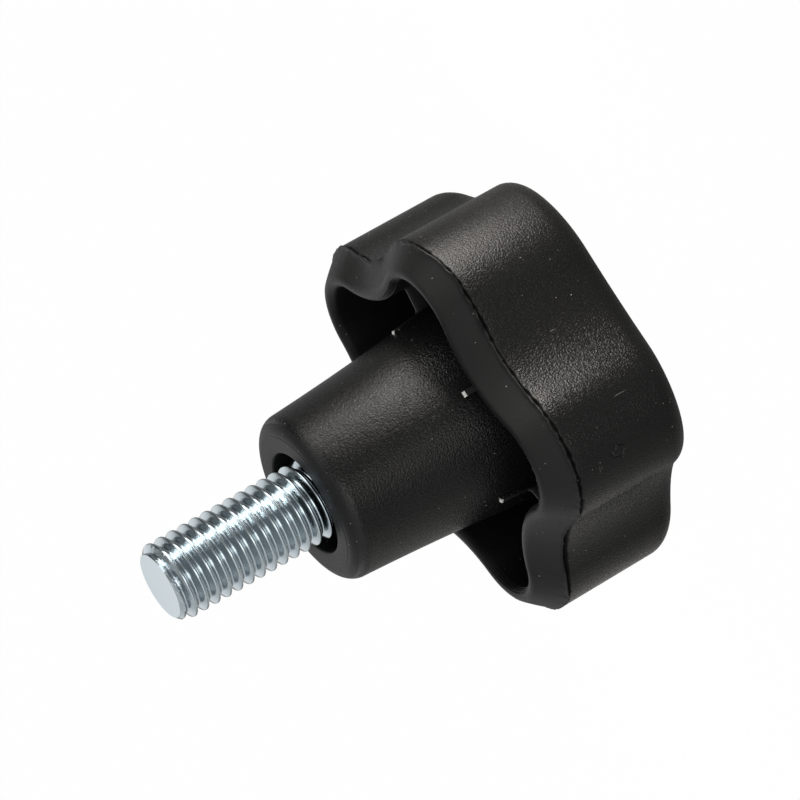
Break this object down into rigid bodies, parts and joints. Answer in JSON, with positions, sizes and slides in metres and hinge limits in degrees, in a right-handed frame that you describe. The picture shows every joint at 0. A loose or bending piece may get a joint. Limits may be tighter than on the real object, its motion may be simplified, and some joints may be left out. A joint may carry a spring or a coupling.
{
  "type": "star knob",
  "caption": "Moulded plastic star grip knob with a lobed hollow head, a long flared hub and a threaded steel stud moulded into it",
  "frame": {"origin": "on the knob's axis, in the hub's end face", "axes": "+Z runs out of the hub along the threaded stud; one lobe of the star lies on +X"},
  "size_m": [0.0389, 0.0402, 0.0479],
  "materials": {
    "black_plastic": "fine moulded grain, semi-matt black",
    "zinc_plated_steel": "bright blue-white zinc plating over a rolled thread"
  },
  "bodies": {
    "root": {"star_head": "black_plastic", "threaded_stud": "zinc_plated_steel"}
  },
  "joints": []
}
